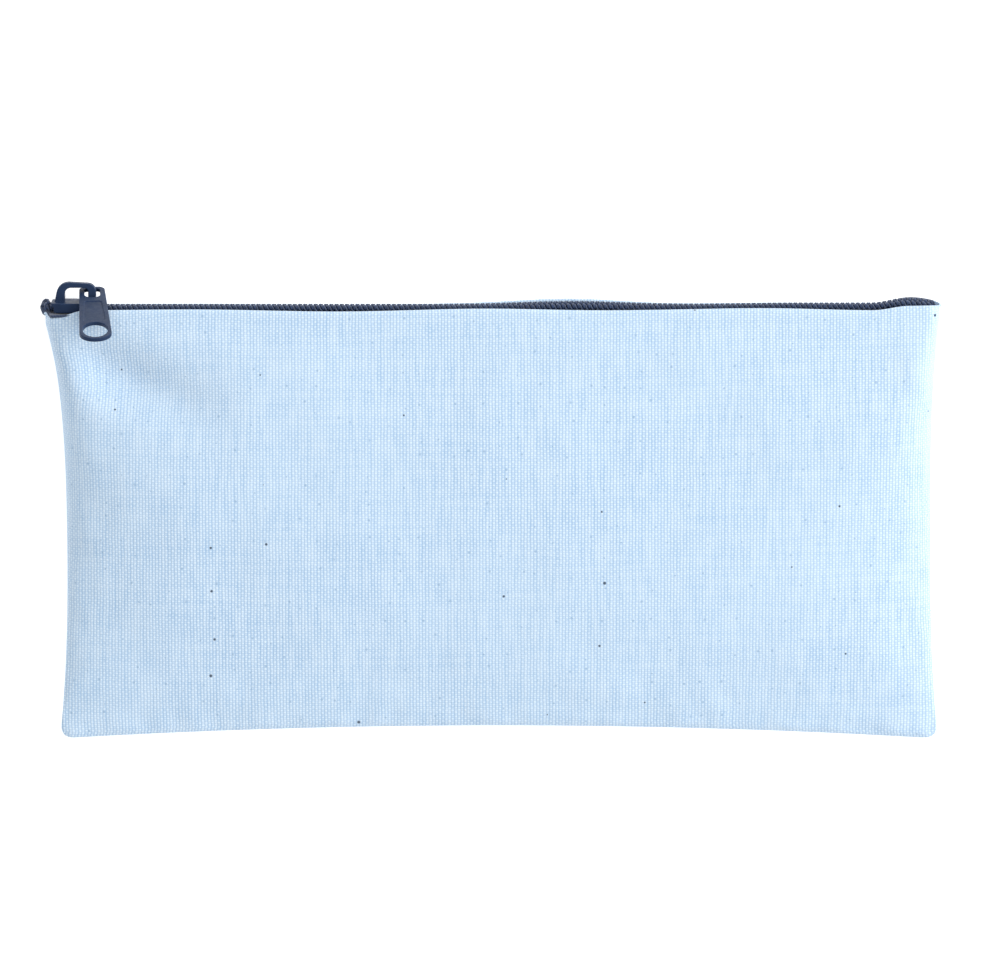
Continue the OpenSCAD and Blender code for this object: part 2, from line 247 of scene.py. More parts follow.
def weave_group():
    """Plain weave: yarns pass over and under each other, and vary in thickness along their run."""
    if "Plain weave" in bpy.data.node_groups:
        return bpy.data.node_groups["Plain weave"]
    tree, given, made = new_group(
        "Plain weave",
        [("Vector", "NodeSocketVector", None), ("Warp pitch", "NodeSocketFloat", 0.00073),
         ("Weft pitch", "NodeSocketFloat", 0.00107), ("Uneven", "NodeSocketFloat", 0.3)],
        [("Height", "NodeSocketFloat"), ("Shade", "NodeSocketFloat"), ("Slub", "NodeSocketFloat")])
    link = tree.links.new
    wander = tree.nodes.new("ShaderNodeVectorMath")
    wander.operation = "MULTIPLY_ADD"
    link(noise_node(tree, given.outputs["Vector"], 220, 2, "Color"), wander.inputs[0])
    wander.inputs[1].default_value = (0.00030, 0.00045, 0)
    link(given.outputs["Vector"], wander.inputs[2])
    split = tree.nodes.new("ShaderNodeSeparateXYZ")
    link(wander.outputs[0], split.inputs[0])
    across = math_node(tree, "DIVIDE", split.outputs["X"], given.outputs["Warp pitch"])
    along = math_node(tree, "DIVIDE", split.outputs["Y"], given.outputs["Weft pitch"])
    warp_round = ridges(tree, across, 1)
    weft_round = ridges(tree, along, 1)
    parity = math_node(tree, "PINGPONG", math_node(
        tree, "ADD", math_node(tree, "FLOOR", across), math_node(tree, "FLOOR", along)), 1.0)
    warp_up = math_node(tree, "MULTIPLY", warp_round, math_node(tree, "ADD", math_node(
        tree, "MULTIPLY", weft_round, parity), 0.55))
    weft_up = math_node(tree, "MULTIPLY", math_node(tree, "MULTIPLY", weft_round, warp_round),
                        math_node(tree, "SUBTRACT", 1.0, parity))
    body = math_node(tree, "MAXIMUM", warp_up, weft_up)
    # Slubs: yarns that are thicker for a stretch
    slub_warp = noise_node(tree, stretched(tree, given.outputs["Vector"], (900, 120, 1)), 1, 1)
    slub_weft = noise_node(tree, stretched(tree, given.outputs["Vector"], (50, 950, 1)), 1, 1)
    slub = math_node(tree, "ADD", slub_warp, math_node(tree, "MULTIPLY", slub_weft, 0.5))
    slub = map_range(tree, slub, 0.5, 1.0, 0.0, 1.0)
    fuzz = map_range(tree, noise_node(tree, given.outputs["Vector"], 1700, 2), 0.3, 0.7, 0.72, 1.15)
    height = math_node(tree, "MULTIPLY", math_node(tree, "MULTIPLY", body, fuzz), math_node(
        tree, "ADD", math_node(tree, "MULTIPLY", slub, given.outputs["Uneven"]), 0.75))
    link(height, made.inputs["Height"])
    # Shade follows the yarn's height: it drives the painted shade between the yarns
    link(map_range(tree, height, 0.15, 0.95, 0.0, 1.0), made.inputs["Shade"])
    link(slub, made.inputs["Slub"])
    return tree


def fleck_group():
    """Seed flecks: small scattered marks in the yarn."""
    if "Seed flecks" in bpy.data.node_groups:
        return bpy.data.node_groups["Seed flecks"]
    tree, given, made = new_group(
        "Seed flecks",
        [("Vector", "NodeSocketVector", None), ("Spacing", "NodeSocketFloat", 120.0),
         ("Size", "NodeSocketFloat", 0.03), ("Share", "NodeSocketFloat", 0.2)],
        [("Mask", "NodeSocketFloat")])
    cells = tree.nodes.new("ShaderNodeTexVoronoi")
    cells.voronoi_dimensions = "2D"
    tree.links.new(given.outputs["Vector"], cells.inputs["Vector"])
    tree.links.new(given.outputs["Spacing"], cells.inputs["Scale"])
    split = tree.nodes.new("ShaderNodeSeparateColor")
    tree.links.new(cells.outputs["Color"], split.inputs[0])
    chosen = math_node(tree, "LESS_THAN", split.outputs[0], given.outputs["Share"])
    size = math_node(tree, "MULTIPLY", given.outputs["Size"], math_node(tree, "ADD", split.outputs[1], 0.4))
    near = math_node(tree, "SUBTRACT", 1.0, math_node(
        tree, "DIVIDE", cells.outputs["Distance"], size), clamp=True)
    spot = math_node(tree, "MULTIPLY", math_node(tree, "MULTIPLY", near, 2.2, clamp=True), chosen)
    tree.links.new(spot, made.inputs["Mask"])
    return tree


def stitch_group():
    """The row of small dimples that a hidden seam draws into the cloth, a set way below the hem's edge."""
    if "Stitch dimples" in bpy.data.node_groups:
        return bpy.data.node_groups["Stitch dimples"]
    tree, given, made = new_group(
        "Stitch dimples",
        [("Vector", "NodeSocketVector", None), ("Pitch", "NodeSocketFloat", 0.002),
         ("Line", "NodeSocketFloat", 0.002)],
        [("Mask", "NodeSocketFloat")])
    split = tree.nodes.new("ShaderNodeSeparateXYZ")
    tree.links.new(given.outputs["Vector"], split.inputs[0])
    wave = math_node(tree, "SINE", math_node(
        tree, "MULTIPLY", math_node(tree, "DIVIDE", split.outputs["X"], given.outputs["Pitch"]), 2 * math.pi))
    along = map_range(tree, wave, 0.1, 0.9, 0.0, 1.0)
    off = math_node(tree, "ABSOLUTE", math_node(tree, "ADD", split.outputs["Y"], given.outputs["Line"]))
    across = map_range(tree, off, 0.00015, 0.00045, 1.0, 0.0)
    uneven = map_range(tree, noise_node(tree, given.outputs["Vector"], 130, 1), 0.42, 0.62, 0.0, 1.0)
    tree.links.new(math_node(tree, "MULTIPLY", math_node(tree, "MULTIPLY", along, across), uneven),
                   made.inputs["Mask"])
    return tree


def add_group(tree, group, vector, **values):
    """Places a node group with its own values."""
    node = tree.nodes.new("ShaderNodeGroup")
    node.node_tree = group
    tree.links.new(vector, node.inputs["Vector"])
    for label, value in values.items():
        node.inputs[label.replace("_", " ")].default_value = value
    return node


def mix_colour(tree, share, a, b):
    """A share of b over a. Each is a constant or a socket."""
    node = tree.nodes.new("ShaderNodeMix")
    node.data_type = "RGBA"
    for socket, value in ((node.inputs[0], share), (node.inputs[6], a), (node.inputs[7], b)):
        if isinstance(value, (int, float, tuple)):
            socket.default_value = value
        else:
            tree.links.new(value, socket)
    return node.outputs[2]


def new_material(name, roughness, **values):
    """A material with its tree and shader, and constant values on the shader's sockets."""
    material = bpy.data.materials.new(name)
    material.use_nodes = True
    tree = material.node_tree
    shader = tree.nodes["Principled BSDF"]
    shader.inputs["Roughness"].default_value = roughness
    for label, value in values.items():
        shader.inputs[label.replace("_", " ")].default_value = value
    return material, tree, shader


def bump(tree, shader, height, strength, distance):
    """Fine relief for a shader."""
    node = tree.nodes.new("ShaderNodeBump")
    node.inputs["Strength"].default_value = strength
    node.inputs["Distance"].default_value = distance
    tree.links.new(height, node.inputs["Height"])
    tree.links.new(node.outputs[0], shader.inputs["Normal"])


def shades(colour, factor):
    """A lighter or darker shade of a colour."""
    return (colour[0] * factor, colour[1] * factor, colour[2] * factor, 1.0)


def canvas_material():
    """Plain cotton canvas with flecks, and the dimples of the seam that holds the zip, with painted shade between the
    yarns and in the dimples.
    """
    canvas, _, _ = settings()
    material, tree, shader = new_material(
        "Cotton canvas", 0.92, Sheen_Weight=0.25, Sheen_Roughness=0.6, Specular_IOR_Level=0.15)
    shader.inputs["Sheen Tint"].default_value = (0.85, 0.92, 1.0, 1.0)
    uv = tree.nodes.new("ShaderNodeUVMap")
    uv.uv_map = "Cloth"
    vector = uv.outputs[0]
    seam = tree.nodes.new("ShaderNodeUVMap")
    seam.uv_map = "Hem"
    marks = add_group(tree, stitch_group(), seam.outputs[0], Pitch=0.0021, Line=0.0019).outputs[0]
    weave = add_group(tree, weave_group(), vector, Warp_pitch=canvas.warp_pitch,
                      Weft_pitch=canvas.weft_pitch, Uneven=0.22)
    colour = tuple(canvas.colour)
    # Painted shade: the colour where the yarns lie low between their neighbours, and in the seam's dimples
    recess_shade = (colour[0] * 0.50, colour[1] * 0.62, colour[2] * 0.76, 1.0)
    base = mix_colour(tree, weave.outputs["Shade"], recess_shade, colour)
    base = mix_colour(tree, map_range(tree, weave.outputs["Slub"], 0.0, 1.0, 0.0, 0.25), base,
                      (min(1, colour[0] * 1.16), min(1, colour[1] * 1.08), min(1, colour[2] * 1.03), 1.0))
    patch = map_range(tree, noise_node(tree, vector, 22, 3), 0.35, 0.65, 0.0, 0.22)
    base = mix_colour(tree, patch, base, (colour[0] * 0.88, colour[1] * 0.92, colour[2] * 0.96, 1.0))
    pale = add_group(tree, fleck_group(), vector, Spacing=260.0, Size=0.075, Share=0.5)
    base = mix_colour(tree, math_node(tree, "MULTIPLY", pale.outputs[0], 0.7), base,
                      (colour[0] * 0.45, colour[1] * 0.55, colour[2] * 0.66, 1.0))
    dark = add_group(tree, fleck_group(), vector, Spacing=90.0, Size=0.030, Share=0.2)
    base = mix_colour(tree, math_node(tree, "MULTIPLY", dark.outputs[0], 0.9), base, (0.03, 0.045, 0.08, 1.0))
    # Painted shade in the seam's dimples
    base = mix_colour(tree, math_node(tree, "MULTIPLY", marks, 0.30), base, recess_shade)
    tree.links.new(base, shader.inputs["Base Color"])
    relief = math_node(tree, "SUBTRACT", weave.outputs["Height"], math_node(tree, "MULTIPLY", marks, 0.9))
    bump(tree, shader, relief, 0.3, 0.00022)
    return material


def twill_material(colour):
    """Woven tape with a diagonal rib, with painted shade in the grooves and painted highlight on the ribs."""
    rib_pitch = 0.0007
    material, tree, shader = new_material("Zip twill", 0.78, Sheen_Weight=0.3, Specular_IOR_Level=0.25)
    place = tree.nodes.new("ShaderNodeTexCoord").outputs["Object"]
    split = tree.nodes.new("ShaderNodeSeparateXYZ")
    tree.links.new(place, split.inputs[0])
    slope = math_node(tree, "ADD", split.outputs["Z"], split.outputs["Y"])
    diagonal = math_node(tree, "ADD", split.outputs["X"], slope)
    rib = ridges(tree, diagonal, rib_pitch)
    yarn = ridges(tree, split.outputs["X"], 0.7 * rib_pitch)
    height = math_node(tree, "ADD", rib, math_node(tree, "MULTIPLY", yarn, 0.35))
    # Painted shade in the rib's grooves and painted highlight on its tops
    base = mix_colour(tree, map_range(tree, height, 0.1, 1.2, 0.0, 1.0), shades(colour, 0.55), shades(colour, 1.25))
    patch = map_range(tree, noise_node(tree, place, 400, 3), 0.3, 0.7, 0.0, 0.3)
    base = mix_colour(tree, patch, base, shades(colour, 0.8))
    tree.links.new(base, shader.inputs["Base Color"])
    bump(tree, shader, height, 0.5, 0.00012)
    return material


def nylon_material():
    """Dull drawn nylon."""
    _, z, _ = settings()
    colour = tuple(z.coil_colour)
    material, tree, shader = new_material("Nylon coil", 0.45, Specular_IOR_Level=0.18)
    place = tree.nodes.new("ShaderNodeTexCoord").outputs["Object"]
    cloudy = noise_node(tree, place, 700, 3)
    base = mix_colour(tree, map_range(tree, cloudy, 0.3, 0.7, 0.0, 1.0), shades(colour, 0.75), shades(colour, 1.3))
    tree.links.new(base, shader.inputs["Base Color"])
    tree.links.new(map_range(tree, noise_node(tree, place, 1500, 2), 0.3, 0.7, 0.3, 0.5), shader.inputs["Roughness"])
    bump(tree, shader, noise_node(tree, place, 3000, 2), 0.15, 0.00005)
    return material


def lacquer_material():
    """Satin lacquer on cast zinc, with painted highlight: a little paler along the sharp edges."""
    _, z, _ = settings()
    colour = tuple(z.metal_colour)
    material, tree, shader = new_material("Slate lacquer", 0.48, Specular_IOR_Level=0.12)
    place = tree.nodes.new("ShaderNodeTexCoord").outputs["Object"]
    cloudy = noise_node(tree, place, 260, 4)
    edge = tree.nodes.new("ShaderNodeNewGeometry").outputs["Pointiness"]
    # Painted highlight: a paler copy of the lacquer on the sharp edges, where light catches them
    edge_highlight = map_range(tree, math_node(tree, "ADD", edge, math_node(
        tree, "MULTIPLY", noise_node(tree, place, 900, 3), 0.04)), 0.535, 0.60, 0.0, 0.55)
    base = mix_colour(tree, map_range(tree, cloudy, 0.3, 0.7, 0.0, 1.0), shades(colour, 0.9), shades(colour, 1.1))
    base = mix_colour(tree, edge_highlight, base, shades(colour, 1.9))
    tree.links.new(base, shader.inputs["Base Color"])
    rough = map_range(tree, noise_node(tree, place, 1200, 3), 0.3, 0.7, 0.36, 0.52)
    tree.links.new(rough, shader.inputs["Roughness"])
    bump(tree, shader, noise_node(tree, place, 1800, 3), 0.08, 0.00006)
    return material


def thread_material(name, colour):
    """Twisted thread, with painted shade in the twist's grooves and painted highlight on its strands."""
    material, tree, shader = new_material(name, 0.7, Sheen_Weight=0.2)
    place = tree.nodes.new("ShaderNodeTexCoord").outputs["Object"]
    wave = tree.nodes.new("ShaderNodeTexWave")
    wave.bands_direction = "DIAGONAL"
    wave.inputs["Scale"].default_value = 900
    tree.links.new(place, wave.inputs["Vector"])
    # Painted shade and painted highlight along the twist, following the bump
    base = mix_colour(tree, wave.outputs["Fac"], shades(colour, 0.7), shades(colour, 1.15))
    tree.links.new(base, shader.inputs["Base Color"])
    bump(tree, shader, wave.outputs["Fac"], 0.4, 0.00008)
    return material


# ---------------------------------------------------------------- the shape of the pouch

PANEL_COLS, PANEL_ROWS = 230, 130
PANEL_TOP = 0.00515      # from the zip's middle line to where the panel turns into its hem
TAPE_HALF = 0.00025      # half the thickness of the tape
# The zip turns at both ends: where the turn starts, where it is full, and its angle
TWIST_LEFT = (-0.1028, -0.1050, math.radians(48))
TWIST_RIGHT = (0.0865, 0.0960, math.radians(10))
# The zip turns up a little near the middle: its place, half its length, and its angle
TURN_UP = (0.017, 0.016, math.radians(7))
# The hem's outline: how far from the zip's middle line, and how far out from its strip
HEM_FOLD = ((0.0062, 0.0012), (0.0058, 0.00133), (0.0054, 0.00135), (0.0051, 0.00128), (0.00488, 0.00112),
            (0.00475, 0.0008), (0.00483, 0.00052), (0.00500, 0.00036), (0.00535, 0.00031), (0.0060, 0.00031))
# The dent under the slider: its middle, its direction, half its length and half its width, and its depth
DENT_PLACE, DENT_WAY = (-0.086, 0.0335), (0.94, -0.34)
DENT_HALF, DENT_DEPTH = (0.017, 0.0060), 0.0036
# The chain bends under the front hem at its right end: where it starts, over what length, and how far
BEND_START, BEND_LENGTH, BEND_DEPTH = 0.0930, 0.0076, 0.0042


def smooth_step(t):
    """0 to 1 with soft ends."""
    t = np.clip(t, 0.0, 1.0)
    return t * t * (3 - 2 * t)


def round_edge(t):
    """A quarter circle that rises from 0 to 1."""
    return np.sqrt(1 - (1 - np.clip(t, 0, 1)) ** 2)


def turn_up(x):
    """1 in the middle of the stretch where the zip turns up, and 0 away from it."""
    return np.exp(-((x - TURN_UP[0]) / TURN_UP[1]) ** 2)


def lean_at(x):
    """The zip's lean: it turns to face up at both ends, past where the slider runs."""
    _, z, _ = settings()
    left = smooth_step((TWIST_LEFT[0] - x) / (TWIST_LEFT[0] - TWIST_LEFT[1])) * TWIST_LEFT[2]
    right = smooth_step((x - TWIST_RIGHT[0]) / (TWIST_RIGHT[1] - TWIST_RIGHT[0])) * TWIST_RIGHT[2]
    return z.lean + left + right + TURN_UP[2] * turn_up(x)


def on_zip(x, across, out, lean=None):
    """Points of the zip in Y and Z, as arrays, with its turned ends unless a lean is given."""
    middle = zip_middle()
    lean = lean_at(x) if lean is None else lean
    tab = 0.0012 * smooth_step((TWIST_LEFT[0] - x) / 0.0015)
    return (middle.y + lift(x) + tab - across * np.sin(lean) + out * np.cos(lean),
            middle.z + across * np.cos(lean) + out * np.sin(lean))


def lift(x):
    """How far the case's upper edge rises: a little in the middle and right of it, and past the slider's right stop."""
    return (0.0005 * turn_up(x) + 0.0003 * smooth_step((x - 0.040) / 0.030)
            + 0.0010 * smooth_step((x - 0.0855) / 0.0085))


def hem_lean(x):
    """The hems turn up with the zip along its run, but not with its ends."""
    _, z, _ = settings()
    return z.lean + TURN_UP[2] * turn_up(x)


def chain_bend(x):
    """How far the chain bends down under the front hem at its right end."""
    return BEND_DEPTH * (1 - np.sqrt(1 - np.clip((x - BEND_START) / BEND_LENGTH, 0, 0.999) ** 2))


def rounded_corners(x, y, left, right, bottom, radius=0.0032):
    """Pulls the two bottom corners of the outline in to a round."""
    dy = radius - (y - bottom)
    for side, dx in ((1, radius - (x - left)), (-1, radius - (right - x))):
        near = (dx > 0) & (dy > 0)
        shrink = np.where(near, np.maximum(dx, dy) / np.maximum(np.hypot(dx, dy), 1e-9), 1)
        x = x + np.where(near, side * (dx - dx * shrink), 0)
        y = y + np.where(near, dy - dy * shrink, 0)
    return x, y


def pouch():
    """The numbers that both panels share."""
    canvas, _, _ = settings()
    middle = zip_middle()
    low_seam = 2 * canvas.thickness + 0.0006
    return canvas, middle, low_seam, panel_high.x - canvas.corner_flare


def left_edge(high):
    """X of the left edge, from 0 at the bottom seam to 1 at the zip."""
    canvas, _, _, half = pouch()
    return -half - canvas.corner_flare * np.abs(2 * high - 1) ** 3 - canvas.left_flare * high ** 4


def right_edge(high):
    """X of the right edge, from 0 at the bottom seam to 1 at the zip."""
    canvas, _, _, half = pouch()
    return half + canvas.corner_flare * np.abs(2 * high - 1) ** 3


def cloth_noise(x, y, scale, seed):
    """Soft noise for arrays of places."""
    return np.array([noise.noise(Vector((a * scale, b * scale, seed))) for a, b in zip(x.ravel(), y.ravel())]
                    ).reshape(x.shape)


def panel_grid(which):
    """Positions of a panel's outer face, from the bottom seam up over the hem and in under it."""
    canvas, middle, low_seam, _ = pouch()
    side = np.sin(np.linspace(-np.pi / 2, np.pi / 2, PANEL_COLS))[None, :]
    high = (np.linspace(0, 1, PANEL_ROWS) ** 1.25)[:, None]
    front = which == "front"
    sign = 1 if front else -1
    top_y = strip_edge(sign * PANEL_TOP)
    bottom = panel_low.y + canvas.bottom_rise * (1 - side ** 2)
    x = left_edge(high) + (right_edge(high) - left_edge(high)) * (side + 1) / 2
    y = bottom + high * (top_y - bottom)
    x, y = np.broadcast_arrays(x, y)
    seam = low_seam + (middle.z - low_seam) * high ** 8
    mouth = 2 * middle.z
    # How far a place is from the side seams, and from the nearest seam of the three
    beside = np.maximum(np.minimum(x - left_edge(high), right_edge(high) - x), 0)
    gap = np.maximum(np.minimum(beside, y - bottom), 0)
    closing = round_edge(beside / 0.0028)
    if front:
        ridge = low_seam + (canvas.belly - low_seam) * (1 - (1 - high) ** 3.2)
        ridge = ridge - (canvas.belly - mouth) * high ** 4
        wall = np.minimum(np.maximum(0, 1 - np.abs(side) ** (4 + 116 * high ** 6)) ** 0.45, closing)
        edge = 0.0008 * round_edge((y - bottom) / 0.0015) * (1 - high)
        z = seam + (ridge - seam) * wall + edge * wall ** 0.5
        soft = smooth_step(gap / 0.012) * smooth_step((top_y - y) / 0.010)
        z = z + soft * 0.0009 * cloth_noise(x, y, 26, 3.1) + soft * 0.00035 * cloth_noise(x, y, 75, 8.2)
        pucker = np.exp(-gap / 0.007) * smooth_step(gap / 0.0012) * smooth_step((top_y - y) / 0.012)
        z = z + pucker * 0.0006 * cloth_noise(x, y, 190, 5.5)
        from_x, from_y = x - DENT_PLACE[0], y - DENT_PLACE[1]
        along = from_x * DENT_WAY[0] + from_y * DENT_WAY[1]
        over = from_y * DENT_WAY[0] - from_x * DENT_WAY[1]
        z = z - DENT_DEPTH * np.exp(-(along / DENT_HALF[0]) ** 2 - (over / DENT_HALF[1]) ** 2) * soft
    else:
        roll = 0.006 - 0.0048 * high ** 4
        z = seam * (1 - round_edge(gap / roll))
    x, y = rounded_corners(x, y, left_edge(high), right_edge(high), bottom)
    # The hem: over the fold, down the zip's strip, round the folded edge and in under it
    xs, ys, zs = [x], [y], [z]
    xt = x[-1:]
    flat = closing[-1:]
    end_y, _ = on_zip(xt, 0, 0.0003, hem_lean(xt))
    wave = 0.00022 * np.sin(xt * 46 + 0.6) + 0.0002 * np.sin(xt * 101 + 2.0)
    start_z = z[-1:]
    lean = hem_lean(xt)
    depth = 1.0 if front else 0.8
    for across, out in HEM_FOLD:
        fy, fz = on_zip(xt, sign * across, out * depth, lean)
        xs.append(xt)
        ys.append(end_y + (fy + wave * (1 if front else 0.6) - end_y) * flat)
        zs.append(middle.z + (fz - middle.z) * flat)
    # An extra row rounds the fold between the panel and the strip
    fy, fz = on_zip(xt, sign * 0.0065, 0.0007, lean)
    xs.insert(1, xt)
    ys.insert(1, end_y + ((ys[0][-1:] + fy) / 2 + 0.0002 + wave - end_y) * flat)
    zs.insert(1, middle.z + (np.maximum(sign * (start_z - middle.z), sign * (fz - middle.z)) * sign) * flat)
    x, y, z = (np.concatenate(part, 0) for part in (xs, ys, zs))
    # Past the closed slider the corner droops
    near_zip = smooth_step((y - (top_y - 0.016)) / 0.016)
    y = y - 0.0017 * near_zip * smooth_step((-0.0945 - x) / 0.0075)
    return x, y, z


def panel(which, material):
    """A panel of canvas with its hem, and UV maps in metres for the weave and for the hem's seam."""
    canvas, _, _ = settings()
    x, y, z = panel_grid(which)
    rows, cols = x.shape
    step_x = np.hypot(np.diff(x, axis=1), np.diff(z, axis=1))
    step_y = np.sqrt(np.diff(y, axis=0) ** 2 + np.diff(z, axis=0) ** 2)
    u = np.concatenate([np.zeros((rows, 1)), np.cumsum(step_x, 1)], 1)
    u = u - u[:, cols // 2][:, None] + x[:, cols // 2][:, None]
    v = np.concatenate([np.zeros((1, cols)), np.cumsum(step_y, 0)], 0) + y[:1]
    below_hem = v - v[PANEL_ROWS - 1]
    obj = make_mesh("canvas_" + which, np.stack([x, y, z], -1).reshape(-1, 3),
                    grid_faces(rows, cols, flip=which == "back"),
                    maps={"Cloth": np.stack([u, v], -1), "Hem": np.stack([u, below_hem], -1)})
    solid = obj.modifiers.new("Cloth thickness", "SOLIDIFY")
    solid.thickness = canvas.thickness * 0.96
    solid.offset = -1
    solid.use_even_offset = False
    finish_mesh(obj)
    set_up(obj, material, "pouch", which + "_panel")


# ---------------------------------------------------------------- the zip

LOOP_SIDES = (20, 8)     # steps round a loop, and round its wire
COIL_SLANT, STITCH_SLANT = 0.25, 0.55    # how far a loop leans along the row, in pitches
COIL_CROSS = 0.0002      # how far each coil's loops reach past the middle line
STITCH_REACH, STITCH_WIRE, STITCH_LINE = 0.0009, 0.00042, 0.00155   # width, thickness, and distance from the middle
TAPE_EDGE, TAB_EDGE = 0.0065, 0.0032     # half width of the closed tape, and of the tab at its left end
MIDDLE_SLIT = 0.00012    # half the slit between the two tapes


def repeat_tree(name, shape):
    """A row of loops or stitches along X, each an ellipse of round wire, slanted along the row."""
    tree = bpy.data.node_groups.new(name, "GeometryNodeTree")
    for label, kind in (("Geometry", "NodeSocketGeometry"), ("Count", "NodeSocketInt"),
                        ("Pitch", "NodeSocketFloat"), ("Reach", "NodeSocketFloat"),
                        ("Height", "NodeSocketFloat"), ("Wire", "NodeSocketFloat"),
                        ("Slant", "NodeSocketFloat"), ("Material", "NodeSocketMaterial")):
        tree.interface.new_socket(label, in_out="INPUT", socket_type=kind)
    tree.interface.new_socket("Geometry", in_out="OUTPUT", socket_type="NodeSocketGeometry")
    given, made = tree.nodes.new("NodeGroupInput"), tree.nodes.new("NodeGroupOutput")
    link = tree.links.new
    ring = tree.nodes.new("GeometryNodeCurvePrimitiveCircle")
    ring.inputs["Resolution"].default_value = shape[0]
    ring.inputs["Radius"].default_value = 0.5
    wire = tree.nodes.new("GeometryNodeCurvePrimitiveCircle")
    wire.inputs["Resolution"].default_value = shape[1]
    half = math_node(tree, "MULTIPLY", given.outputs["Wire"], 0.5)
    link(half, wire.inputs["Radius"])
    # The ring lies across the row: its X becomes Y, its Y becomes Z, and its top leans along X
    place = tree.nodes.new("GeometryNodeInputPosition")
    split = tree.nodes.new("ShaderNodeSeparateXYZ")
    link(place.outputs[0], split.inputs[0])
    join = tree.nodes.new("ShaderNodeCombineXYZ")
    link(math_node(tree, "MULTIPLY", split.outputs["Y"], given.outputs["Slant"]), join.inputs["X"])
    link(math_node(tree, "MULTIPLY", split.outputs["X"], given.outputs["Reach"]), join.inputs["Y"])
    link(math_node(tree, "MULTIPLY", split.outputs["Y"], given.outputs["Height"]), join.inputs["Z"])
    shaped = tree.nodes.new("GeometryNodeSetPosition")
    link(ring.outputs[0], shaped.inputs["Geometry"])
    link(join.outputs[0], shaped.inputs["Position"])
    tube = tree.nodes.new("GeometryNodeCurveToMesh")
    link(shaped.outputs[0], tube.inputs["Curve"])
    link(wire.outputs[0], tube.inputs["Profile Curve"])
    row = tree.nodes.new("GeometryNodeMeshLine")
    link(given.outputs["Count"], row.inputs["Count"])
    offset = tree.nodes.new("ShaderNodeCombineXYZ")
    link(given.outputs["Pitch"], offset.inputs["X"])
    link(offset.outputs[0], row.inputs["Offset"])
    spread = tree.nodes.new("GeometryNodeInstanceOnPoints")
    link(row.outputs[0], spread.inputs["Points"])
    link(tube.outputs[0], spread.inputs["Instance"])
    real = tree.nodes.new("GeometryNodeRealizeInstances")
    link(spread.outputs[0], real.inputs[0])
    smooth = tree.nodes.new("GeometryNodeSetShadeSmooth")
    link(real.outputs[0], smooth.inputs["Geometry"])
    painted = tree.nodes.new("GeometryNodeSetMaterial")
    link(smooth.outputs[0], painted.inputs["Geometry"])
    link(given.outputs["Material"], painted.inputs["Material"])
    link(painted.outputs[0], made.inputs["Geometry"])
    return tree


def repeated(name, tree, **values):
    """Runs a row's tree with its own values and leaves a plain mesh."""
    obj = make_mesh(name, [(0, 0, 0)], [])
    modifier = obj.modifiers.new("Row", "NODES")
    modifier.node_group = tree
    for item in tree.interface.items_tree:
        if item.in_out == "INPUT" and item.name in values:
            modifier[item.identifier] = values[item.name]
    return finish_mesh(obj)


def wrap_on_zip(obj, from_x, across, out):
    """Moves a row made along X onto the zip, with its turned ends."""
    mesh = obj.data
    co = np.zeros(len(mesh.vertices) * 3)
    mesh.vertices.foreach_get("co", co)
    co = co.reshape(-1, 3)
    x = co[:, 0] + from_x
    y, z = on_zip(x, co[:, 1] + across + chain_bend(x), co[:, 2] + out)
    mesh.vertices.foreach_set("co", np.stack([x, y, z], 1).ravel())
    mesh.update()


def coils():
    """Both coils, half a pitch apart, each with the thread that sews it to its tape."""
    _, zs, _ = settings()
    nylon = nylon_material()
    thread = thread_material("Zip thread", tuple(zs.tape_colour))
    loops = repeat_tree("Coil loops", LOOP_SIDES)
    start, end = coil_low.x - 0.0006, coil_high.x - 0.0004
    count = int((end - start) / zs.pitch)
    reach = zs.chain_width / 2 + COIL_CROSS
    for which, sign in (("front", 1), ("back", -1)):
        shift = 0 if sign > 0 else zs.pitch / 2
        coil = repeated("coil_" + which, loops, Count=count, Pitch=zs.pitch, Reach=reach - zs.filament,
                        Height=zs.coil_height - zs.filament, Wire=zs.filament, Slant=-zs.pitch * COIL_SLANT,
                        Material=nylon)
        wrap_on_zip(coil, start + shift, sign * (reach / 2 - COIL_CROSS), TAPE_HALF + zs.coil_height / 2 + 0.0002)
        set_up(coil, nylon, "pouch", which + "_coil")
        sewn = repeated("coil_stitches_" + which, loops, Count=count, Pitch=zs.pitch, Reach=STITCH_REACH,
                        Height=zs.coil_height - 0.0002, Wire=STITCH_WIRE, Slant=-zs.pitch * STITCH_SLANT,
                        Material=thread)
        wrap_on_zip(sewn, start + shift + zs.pitch / 2, sign * STITCH_LINE, TAPE_HALF + zs.coil_height / 2)
        set_up(sewn, thread, "pouch", which + "_coil_thread")


def tapes():
    """Each half of the tape runs out past the corner as a short rounded tab."""
    _, zs, _ = settings()
    twill = twill_material(tuple(zs.tape_colour))
    for which, sign in (("front", 1), ("back", -1)):
        cols, rows = 500, 9
        tip = tape_low.x + 0.0002
        x = np.linspace(tip, right_edge(np.array(1.0)) - 0.0012, cols)[None, :]
        tab = np.sqrt(np.clip(1 - ((TWIST_LEFT[0] - x) / (TWIST_LEFT[0] - tip)).clip(0, 1) ** 2, 0, 1))
        inside = smooth_step((x - TWIST_LEFT[0] + 0.0006) / 0.0006)
        half = (TAB_EDGE + inside * (TAPE_EDGE - TAB_EDGE)) * np.maximum(tab, 0.02)
        t = np.linspace(0, 1, rows)[:, None]
        across = (MIDDLE_SLIT + (half - MIDDLE_SLIT) * t) + sign * chain_bend(x) * (1 - t * (sign > 0))
        sag = -0.00012 * np.sin(t * np.pi) * np.ones_like(x)
        y, z = on_zip(x, sign * across, sag)
        grid = np.stack([np.broadcast_to(x, y.shape), y, z], -1).reshape(-1, 3)
        obj = make_mesh("tape_" + which, grid, grid_faces(rows, cols, flip=sign > 0))
        solid = obj.modifiers.new("Tape thickness", "SOLIDIFY")
        solid.thickness = 2 * TAPE_HALF * 0.9
        solid.offset = 0
        finish_mesh(obj)
        set_up(obj, twill, "pouch", which + "_tape")


# ---------------------------------------------------------------- cast pieces

